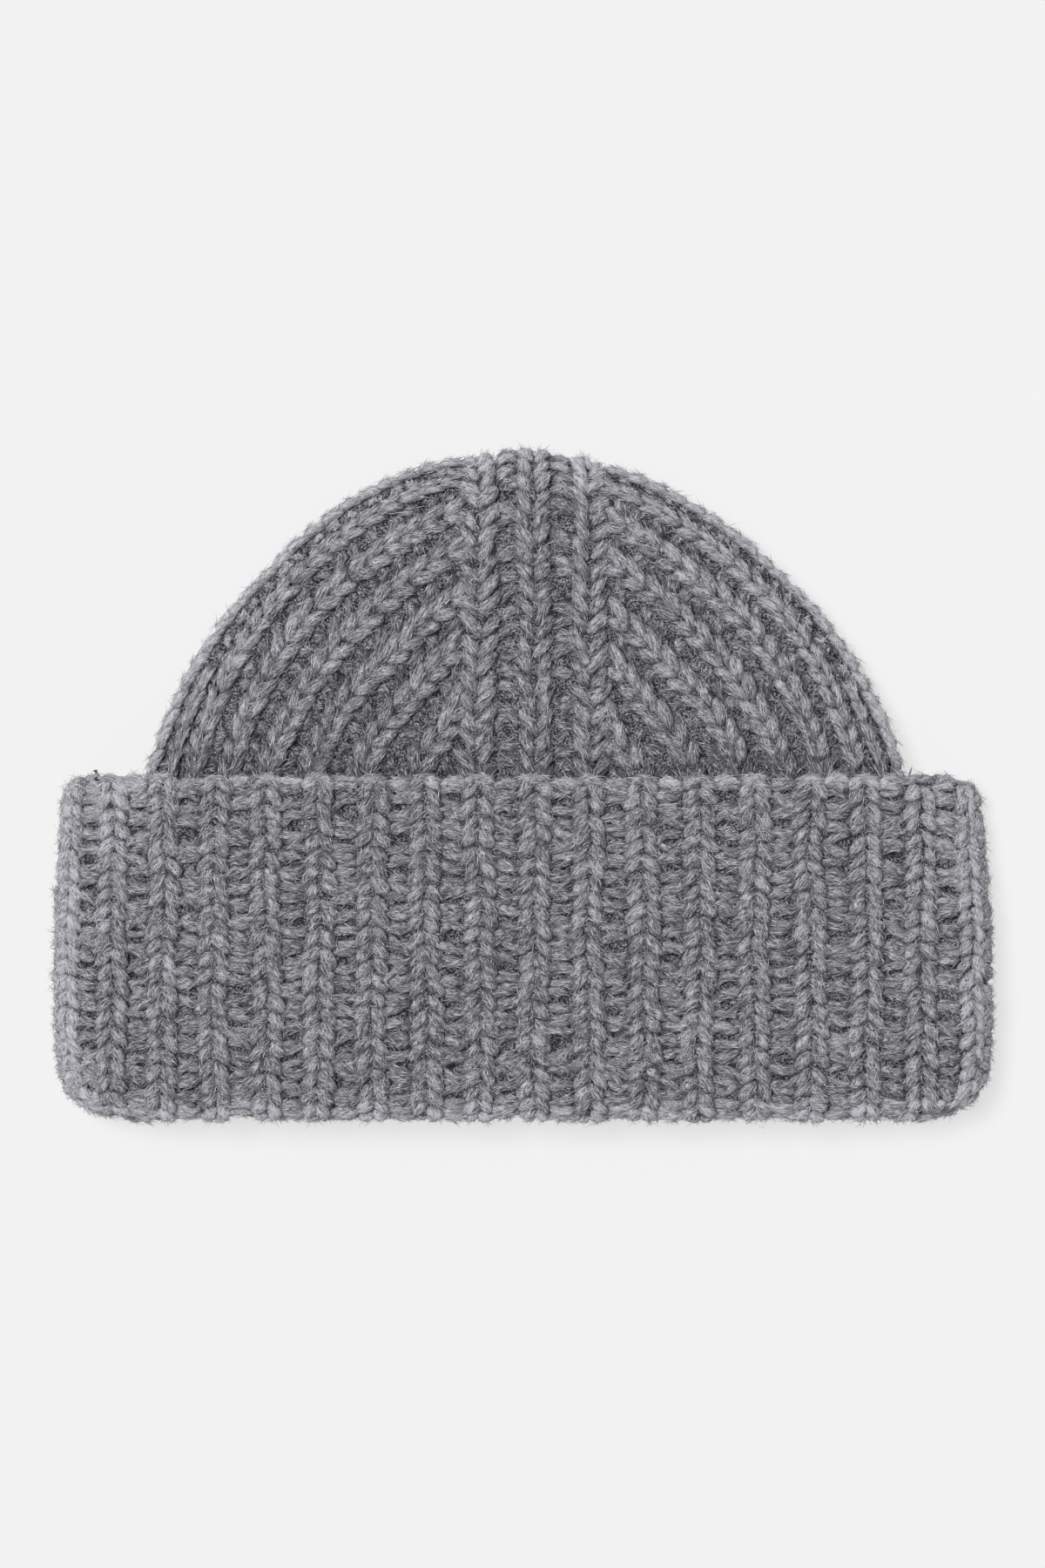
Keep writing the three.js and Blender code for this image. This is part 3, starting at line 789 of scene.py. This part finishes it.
def yarn_mesh(name, parts, painted_shade_share, corner_shaded):
    """One mesh of all tubes. The map called yarn has millimetres of a long spun thread."""
    points, sides, tops, half_width, thickness, shade = parts
    count = len(shade)
    quads, quad_places, triangles, triangle_places = tube_pattern()
    shift = (np.arange(count) * POINTS_PER_TUBE)[:, None, None]
    faces = (quads[None] + shift).reshape(-1, 4).tolist()
    faces += (triangles[None] + shift).reshape(-1, 3).tolist()
    size = np.linalg.norm(points[:, -1] - points[:, 0], axis=1)
    start = chance.uniform(0, YARN_LENGTH, (count, 1, 1, 2))
    scale = np.stack([size, np.full(count, YARN_ROUND)], axis=1)[:, None, None]
    baked, spun = [], []
    for places in (quad_places, triangle_places):
        baked.append(grid_places(count, places).reshape(-1, 2))
        spun.append((places[None] * scale + start).reshape(-1, 2))
    maps = {"OFBake": np.concatenate(baked), "yarn": np.concatenate(spun)}
    # Painted highlight: paler where the wall turns steep
    shade = shade + RIM_PAINTED_LIGHT * steepness(tops)
    # Painted shade on the crown in the corner against the cuff's free edge
    if corner_shaded:
        shade = shade - painted_tuck_shade(points)
    # Each point also gets the painted shade of its place on the tube
    values = {"shade": (shade[:, None] * painted_tube_shade(painted_shade_share)[None]).ravel()}
    surface = pressed(tube_points(points, sides, tops, half_width, thickness))
    return new_mesh(name, surface, faces, values, maps)


def show(name, mesh, material, slot):
    """Puts a mesh in the scene as a piece of the hat."""
    piece = bpy.data.objects.new(name, mesh)
    bpy.context.scene.collection.objects.link(piece)
    mesh.materials.append(material)
    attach(piece, "root")
    print(name, "triangles", sum(len(face.vertices) - 2 for face in mesh.polygons))
    return piece


print("each length takes its look from", YARN_LENGTH, "mm of spun yarn")

# %% [markdown]
# ## Writing finishes as sums
# A material is a small sum over the surface: so much of this noise, times that shade. The class
# below holds one output of a node, and lets such sums be written as they are said. Numbers go
# through Math nodes. Colours go through a Mix node, because a Math node would turn them grey.

# %% A value in a finish
# The sockets of a Mix node that are for colours
MIX_SHARE, MIX_LOW, MIX_HIGH, MIX_COLOUR = 0, 6, 7, 2


class Value:
    """One output of a node, which can be used in sums."""

    def __init__(self, finish, output):
        self.finish = finish
        self.output = output

    def _sum(self, operation, first, second):
        return self.finish.node("ShaderNodeMath", {"operation": operation}, {0: first, 1: second})

    def __add__(self, other):
        return self._sum("ADD", self, other)

    def __radd__(self, other):
        return self._sum("ADD", other, self)

    def __sub__(self, other):
        return self._sum("SUBTRACT", self, other)

    def __rsub__(self, other):
        return self._sum("SUBTRACT", other, self)

    def __mul__(self, other):
        return self._sum("MULTIPLY", self, other)

    def __rmul__(self, other):
        return self._sum("MULTIPLY", other, self)

    def greater(self, other):
        return self._sum("MAXIMUM", self, other)

    def between(self, low, high):
        """The colour that lies this share of the way from one colour to another."""
        settings = {"data_type": "RGBA", "clamp_factor": True}
        inputs = {MIX_SHARE: self, MIX_LOW: low, MIX_HIGH: high}
        return self.finish.node("ShaderNodeMix", settings, inputs, output=MIX_COLOUR)


print("sums of values add Math nodes")

# %% A finish
# Outputs of the Attribute and the Texture Coordinate node
FACTOR = 2
OBJECT_PLACE = 3


class Finish:
    """A material whose nodes are added one at a time."""

    def __init__(self, name):
        self.material = bpy.data.materials.new(name)
        self.material.use_nodes = True
        self.tree = self.material.node_tree
        self.tree.nodes.clear()

    def node(self, kind, settings=None, inputs=None, output=0):
        made = self.tree.nodes.new(kind)
        for key, value in (settings or {}).items():
            setattr(made, key, value)
        for key, value in (inputs or {}).items():
            if isinstance(value, Value):
                self.tree.links.new(value.output, made.inputs[key])
            else:
                made.inputs[key].default_value = value
        return Value(self, made.outputs[output]) if made.outputs else made

    def noise(self, place, scale, detail, dimensions="3D"):
        inputs = {"Vector": place, "Scale": scale, "Detail": detail}
        return self.node("ShaderNodeTexNoise", {"noise_dimensions": dimensions}, inputs)

    def shade(self):
        return self.node("ShaderNodeAttribute", {"attribute_name": "shade"}, output=FACTOR)

    def finished(self, inputs):
        """The material, once its shader has the given values and links."""
        shader = self.node("ShaderNodeBsdfPrincipled", {}, inputs)
        self.node("ShaderNodeOutputMaterial", {}, {"Surface": shader})
        return self.material


print("a finish is closed by a Principled shader")

# %% [markdown]
# ## The wool
# The yarn is loose grey wool spun from pale and dark fibres. Close up it shows fine hairs that run
# along each length and cross at slight angles, and from further away it is a cool, matt grey. One
# noise, stretched along the yarn's own map and turned three ways, gives the hairs: the palest of
# the three wins at each spot, as the uppermost hair does. A broad noise adds paler and darker
# tufts, and the same hairs raise the surface, so that the light catches single fibres. The shade
# that each point carries, with its painted shade and painted highlight, darkens or lightens the
# wool. The crown's wool is painted a little paler than the cuff's, to make up for the deeper
# shade, real and painted, in its hollows.

# %% Wool
DARK_WOOL = (0.05, 0.05, 0.057, 1)
PALE_WOOL = (0.55, 0.546, 0.592, 1)
# The crown is painted paler, to make up for its deeper shade
CROWN_BASE = 0.6
CUFF_BASE = 0.525
HAIR_TURNS = (-0.85, 0.1, 1.0)
HAIR_STRETCH = (0.4, 4.4, 1)
HAIR_LEVEL = 0.6
MEAN_NOISE = 0.5
TUFT_SCALE = 0.55
CONTRAST = {"hairs": 3.8, "streak": 0.9, "tuft": 0.8, "shade": 0.95}
TUFT_RELIEF = 0.5
WOOL_RELIEF = 0.6 * MILLIMETRE
MATT = {"Roughness": 0.95, "Specular IOR Level": 0.15}


def wool_finish(name, base):
    finish = Finish(name)
    place = finish.node("ShaderNodeUVMap", {"uv_map": "yarn"})
    layers = []
    for turn in HAIR_TURNS:
        inputs = {"Vector": place, "Angle": turn}
        turned = finish.node("ShaderNodeVectorRotate", {"rotation_type": "Z_AXIS"}, inputs)
        inputs = {0: turned, 1: HAIR_STRETCH}
        stretched = finish.node("ShaderNodeVectorMath", {"operation": "MULTIPLY"}, inputs)
        layers.append(finish.noise(stretched, 1, 3, "2D"))
    hairs = layers[0].greater(layers[1]).greater(layers[2])
    streak = layers[1]
    tuft = finish.noise(place, TUFT_SCALE, 2, "2D")
    paleness = (hairs - HAIR_LEVEL) * CONTRAST["hairs"]
    paleness = paleness + (streak - MEAN_NOISE) * CONTRAST["streak"]
    paleness = paleness + (tuft - MEAN_NOISE) * CONTRAST["tuft"]
    # The shade attribute brings in each point's random tone, painted shade and painted highlight
    paleness = paleness + (finish.shade() - 1) * CONTRAST["shade"] + base
    colour = paleness.between(DARK_WOOL, PALE_WOOL)
    inputs = {"Strength": 0.6, "Distance": WOOL_RELIEF, "Height": hairs + tuft * TUFT_RELIEF}
    relief = finish.node("ShaderNodeBump", {}, inputs)
    sheen = {"Sheen Weight": 0.12, "Sheen Roughness": 0.6}
    return finish.finished({"Base Color": colour, "Normal": relief, **MATT, **sheen})


crown_wool = wool_finish("crown wool", CROWN_BASE)
cuff_wool = wool_finish("cuff wool", CUFF_BASE)
print("finishes", crown_wool.name, "and", cuff_wool.name)

# %% [markdown]
# ## The walls under the yarn
# Between two lengths of yarn the eye falls on more wool further in, never on a hole. So each
# packed wall is kept as a backing, drawn in by one and a half millimetres on all sides so that the
# yarn stands proud of it. Its finish is painted dark for the shade that lies between the stitches,
# with soft tufts, and that painted shade is also the look of the inside of the hat.

# %% Backings
BACKING_DRAWN_IN = 1.5 * MILLIMETRE
SAME_POINT = 0.02 * MILLIMETRE
# Near black: the painted shade of the depths between the stitches
SHADOWED_WOOL = (0.02, 0.02, 0.023, 1)
SHADOWED_BASE = 0.15
DEEP_TUFTS = {"scale": 420, "contrast": 0.8}
DEEP_HAIRS = {"scale": 1900, "contrast": 2}


def backing_finish(name):
    finish = Finish(name)
    place = finish.node("ShaderNodeTexCoord", {}, {}, output=OBJECT_PLACE)
    tufts = finish.noise(place, DEEP_TUFTS["scale"], 3)
    hairs = finish.noise(place, DEEP_HAIRS["scale"], 3)
    paleness = (tufts - MEAN_NOISE) * DEEP_TUFTS["contrast"]
    paleness = paleness + (hairs - MEAN_NOISE) * DEEP_HAIRS["contrast"] + SHADOWED_BASE
    colour = paleness.between(SHADOWED_WOOL, PALE_WOOL)
    inputs = {"Strength": 0.8, "Distance": MILLIMETRE, "Height": tufts}
    relief = finish.node("ShaderNodeBump", {}, inputs)
    return finish.finished({"Base Color": colour, "Normal": relief, **MATT})


def backing(name, node, material, slot):
    """A packed wall, drawn in along its normals and kept inside its own drawn-in ends."""
    shape = bmesh.new()
    shape.from_mesh(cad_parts[node].data)
    bmesh.ops.remove_doubles(shape, verts=shape.verts, dist=SAME_POINT)
    shape.normal_update()
    ends = [vertex.co.y for vertex in shape.verts]
    low, high = min(ends) + BACKING_DRAWN_IN, max(ends) - BACKING_DRAWN_IN
    for vertex in shape.verts:
        vertex.co -= vertex.normal * BACKING_DRAWN_IN
        vertex.co.y = min(max(vertex.co.y, low), high)
    mesh = bpy.data.meshes.new(name)
    shape.to_mesh(mesh)
    shape.free()
    mesh.materials.clear()
    mesh.polygons.foreach_set("use_smooth", np.ones(len(mesh.polygons), dtype=bool))
    piece = show(name, mesh, material, slot)
    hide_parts(node)


shadowed_wool = backing_finish("wool in painted shade")
backing("crown_backing", "crown", shadowed_wool, "knit")
backing("cuff_backing", "cuff", shadowed_wool, "cuff_knit")

# %% [markdown]
# ## Stitches on show
# The upper and the lower side of each part become meshes of their own, which keeps every mesh
# small enough to handle. Lengths on the side folds go with the upper side.

# %% Make the stitches
LOWER_BELOW = -0.2


def upper(up):
    return up > LOWER_BELOW


def lower(up):
    return up <= LOWER_BELOW


for part, lengths, wool, slot in (
    ("crown", crown_lengths, crown_wool, "knit"),
    ("cuff", cuff_lengths, cuff_wool, "cuff_knit"),
):
    for where, keep in (("front", upper), ("back", lower)):
        name = f"{part}_stitches_{where}"
        mesh = yarn_mesh(name, joined(lengths, keep), PAINTED_HOLLOW_SHADE[part], part == "crown")
        show(name, mesh, wool, slot)

# %% [markdown]
# ## Loose fibres
# Soft wool has a haze of fibres along every length, and it blurs the outline of the hat. A hair
# system would do, but it would be lost when the part is exported, so the fibres are thin closed
# slivers, thickest in the middle. Most hug the yarn, and a few stand out from it. The upper side
# gets most of them. Underneath, they gather along the outline, where they can still be seen.

# %% Finish and shape of a fibre
FIBRE_SIDES = 3
DARK_FIBRE = (0.03, 0.03, 0.035, 1)
PALE_FIBRE = (0.74, 0.735, 0.77, 1)
# A sliver has its root, three points round its middle and its tip
fibre_faces = np.array([(0, 1, 2), (0, 2, 3), (0, 3, 1), (4, 2, 1), (4, 3, 2), (4, 1, 3)])
fibre_corners = np.array([(0.02, 0.5), (0.5, 0.1), (0.5, 0.5), (0.5, 0.9), (0.98, 0.5)])


def fibre_finish(name):
    finish = Finish(name)
    # The shade attribute gives each fibre its random tone and its painted highlight on steep walls
    colour = finish.shade().between(DARK_FIBRE, PALE_FIBRE)
    soft = {"Roughness": 0.8, "Specular IOR Level": 0.2, "Sheen Weight": 0.1}
    return finish.finished({"Base Color": colour, **soft})


fibre_wool = fibre_finish("loose fibres")
print("a fibre has", len(fibre_corners), "points and", len(fibre_faces), "faces")

# %% Lay the fibres
FIBRE_HALF_WIDTH = 0.115
FIBRE_WIDTHS = (0.6, 1.25)
FIBRE_SUNK = -0.08
FIBRE_LIFT = 0.12
FIBRE_STRAY = 0.22
FIBRE_TWIST = 0.6
FIBRE_SPREAD = 0.8
# Where a fibre starts, counted back from the middle of its length of yarn, how far off its middle
# lies, both in stations, and how far its tip goes on as a share of that
FIBRE_STARTS = (-0.6, 2.6)
FIBRE_RUNS = (1, 1.8)
FIBRE_TIPS = (0.45, 1.05)
FIBRE_PAINTED_LIGHT = 1.2
FIBRE_DARKNESS = 1.3
LONG_STRAY = 0.4
LONG_SHARE = 0.015


def on_yarn(parts, which, station, angle, clear):
    """Points on or just over chosen lengths of yarn, at a station and an angle round it."""
    points, sides, tops, half_width, thickness, _ = parts
    low = np.clip(station.astype(int), 0, len(STATIONS) - 2)
    share = (station - low)[:, None]

    def at(array):
        first, second = array[which, low], array[which, low + 1]
        return lerp(first, second, share if first.ndim == 2 else share[:, 0])

    spread = at(sides) * ((at(half_width) + clear) * np.cos(angle))[:, None]
    return at(points) + spread + at(tops) * ((at(thickness) + clear) * np.sin(angle))[:, None]


def fibre_mesh(name, parts, count, edge_weight):
    """One mesh of count fibres. An edge weight gathers them where the yarn faces sideways."""
    tops = parts[2]
    weights = 1 + edge_weight * (1 - np.abs(facing_up(tops)))
    which = chance.choice(len(weights), count, p=weights / weights.sum())
    way = chance.choice([-1, 1], count)
    station = MIDDLE - way * chance.uniform(*FIBRE_STARTS, count)
    angle = chance.normal(math.pi / 2, FIBRE_SPREAD, count)
    twist = chance.normal(0, FIBRE_TWIST, count)
    lift = FIBRE_LIFT * chance.exponential(1, count)
    root = on_yarn(parts, which, station, angle, FIBRE_SUNK)
    farther = station + way * chance.uniform(*FIBRE_RUNS, count)
    middle = on_yarn(parts, which, farther, angle + twist, lift)
    half = chance.uniform(*FIBRE_TIPS, count)[:, None]
    tip = middle + (middle - root) * half + chance.normal(0, FIBRE_STRAY, (count, 3))
    stray = chance.random(count) < LONG_SHARE
    tip = tip + np.where(stray[:, None], chance.normal(0, LONG_STRAY, (count, 3)), 0)
    onward = unit(tip - root)
    side = unit(np.cross(onward, chance.normal(0, 1, (count, 3))))
    top = np.cross(side, onward)
    half_width = FIBRE_HALF_WIDTH * chance.uniform(*FIBRE_WIDTHS, count)[:, None]
    corners = [root]
    for m in range(FIBRE_SIDES):
        turn = 2 * math.pi * m / FIBRE_SIDES
        corners.append(middle + half_width * (side * math.cos(turn) + top * math.sin(turn)))
    corners.append(tip)
    points = pressed(np.stack(corners, axis=1))
    shift = (np.arange(count) * len(corners))[:, None, None]
    faces = (fibre_faces[None] + shift).reshape(-1, 3).tolist()
    # A random tone, and a painted highlight where the wall under the fibre turns steep
    shade = chance.random(count) ** FIBRE_DARKNESS + FIBRE_PAINTED_LIGHT * steepness(tops)[which]
    values = {"shade": np.repeat(np.clip(shade, 0, 1), len(corners))}
    places = grid_places(count, fibre_corners[fibre_faces]).reshape(-1, 2)
    return new_mesh(name, points, faces, values, {"OFBake": places})


print("fibres that stand out", LONG_SHARE)

# %% Make the fibres
FIBRE_COUNTS = {
    "crown": {"front": 20000, "haze": 6000, "back": 5000},
    "cuff": {"front": 32500, "haze": 20000, "back": 6000},
}
BACK_EDGE_WEIGHT = 12

for part, lengths, slot in (
    ("crown", crown_lengths, "knit"),
    ("cuff", cuff_lengths, "cuff_knit"),
):
    for where, count in FIBRE_COUNTS[part].items():
        keep, edge_weight = (lower, BACK_EDGE_WEIGHT) if where == "back" else (upper, 0)
        name = f"{part}_fibres_{where}"
        show(name, fibre_mesh(name, joined(lengths, keep), count, edge_weight), fibre_wool, slot)

# %% [markdown]
# ## The floor
# The hat lies on a plain pale floor that looks the same all over. A floor that took all its
# brightness from the lamp would show a dark shadow beside the hat. So most of it is a glow of its
# own and only the rest is lit, which leaves the pale, short shadow of a catalogue picture.

# %% Floor
FLOOR_HALF = 6.0
FLOOR_COLOUR = (0.19, 0.19, 0.19, 1)
FLOOR_GLOW = 0.667
floor_mesh = bpy.data.meshes.new("floor")
floor_corners = [(-1, -1, 0), (1, -1, 0), (1, 1, 0), (-1, 1, 0)]
floor_points = [(x * FLOOR_HALF, y * FLOOR_HALF, z) for x, y, z in floor_corners]
floor_mesh.from_pydata(floor_points, [], [(0, 1, 2, 3)])
floor = bpy.data.objects.new("floor", floor_mesh)
bpy.context.scene.collection.objects.link(floor)
plain = {"Base Color": FLOOR_COLOUR, "Roughness": 1.0, "Specular IOR Level": 0.0}
glow = {"Emission Color": (1, 1, 1, 1), "Emission Strength": FLOOR_GLOW}
floor_mesh.materials.append(Finish("pale floor").finished({**plain, **glow}))
print("floor", 2 * FLOOR_HALF, "m wide")

# %% [markdown]
# ## The light
# In the picture the light comes from the upper left and is broad and soft: the ribs are modelled
# gently and the shadow below and to the right is short. A sun lamp with a wide angle gives that
# evenly over the whole hat, and a plain white sky fills the hollows.

# %% Light
SKY_STRENGTH = 0.3
LAMP_STRENGTH = 2.95
LAMP_SPREAD = 20
LAMP_FROM = (-0.28, 0.18, 1)
sky = bpy.data.worlds.new("sky")
sky.use_nodes = True
sky.node_tree.nodes["Background"].inputs["Color"].default_value = (1, 1, 1, 1)
sky.node_tree.nodes["Background"].inputs["Strength"].default_value = SKY_STRENGTH
bpy.context.scene.world = sky
lamp_data = bpy.data.lights.new("upper left lamp", "SUN")
lamp_data.energy = LAMP_STRENGTH
lamp_data.angle = math.radians(LAMP_SPREAD)
lamp = bpy.data.objects.new("upper left lamp", lamp_data)
lamp.rotation_mode = "QUATERNION"
lamp.rotation_quaternion = mathutils.Vector(LAMP_FROM).to_track_quat("Z", "Y")
bpy.context.scene.collection.objects.link(lamp)
bpy.context.scene.view_settings.view_transform = "Standard"
print("lamp", LAMP_STRENGTH, "over a sky of", SKY_STRENGTH)

# %% [markdown]
# ## The camera
# The camera hangs straight above on a long lens, so the hat shows almost without perspective. The
# lens is worked out so that the height of the picture spans a known length at the level of the
# hat's outline.

# %% Camera
CAMERA_X = -0.1
CAMERA_HEIGHT = 2200
PICTURE_HEIGHT = 416.3
OUTLINE_HEIGHT = 14
SENSOR = 36
camera_data = bpy.data.cameras.new("camera")
camera_data.sensor_width = SENSOR
camera_data.lens = SENSOR * (CAMERA_HEIGHT - OUTLINE_HEIGHT) / PICTURE_HEIGHT
camera = bpy.data.objects.new("camera", camera_data)
camera.location = (CAMERA_X * MILLIMETRE, 0, CAMERA_HEIGHT * MILLIMETRE)
bpy.context.scene.collection.objects.link(camera)
bpy.context.scene.camera = camera
print("lens", round(camera_data.lens, 1), "mm")
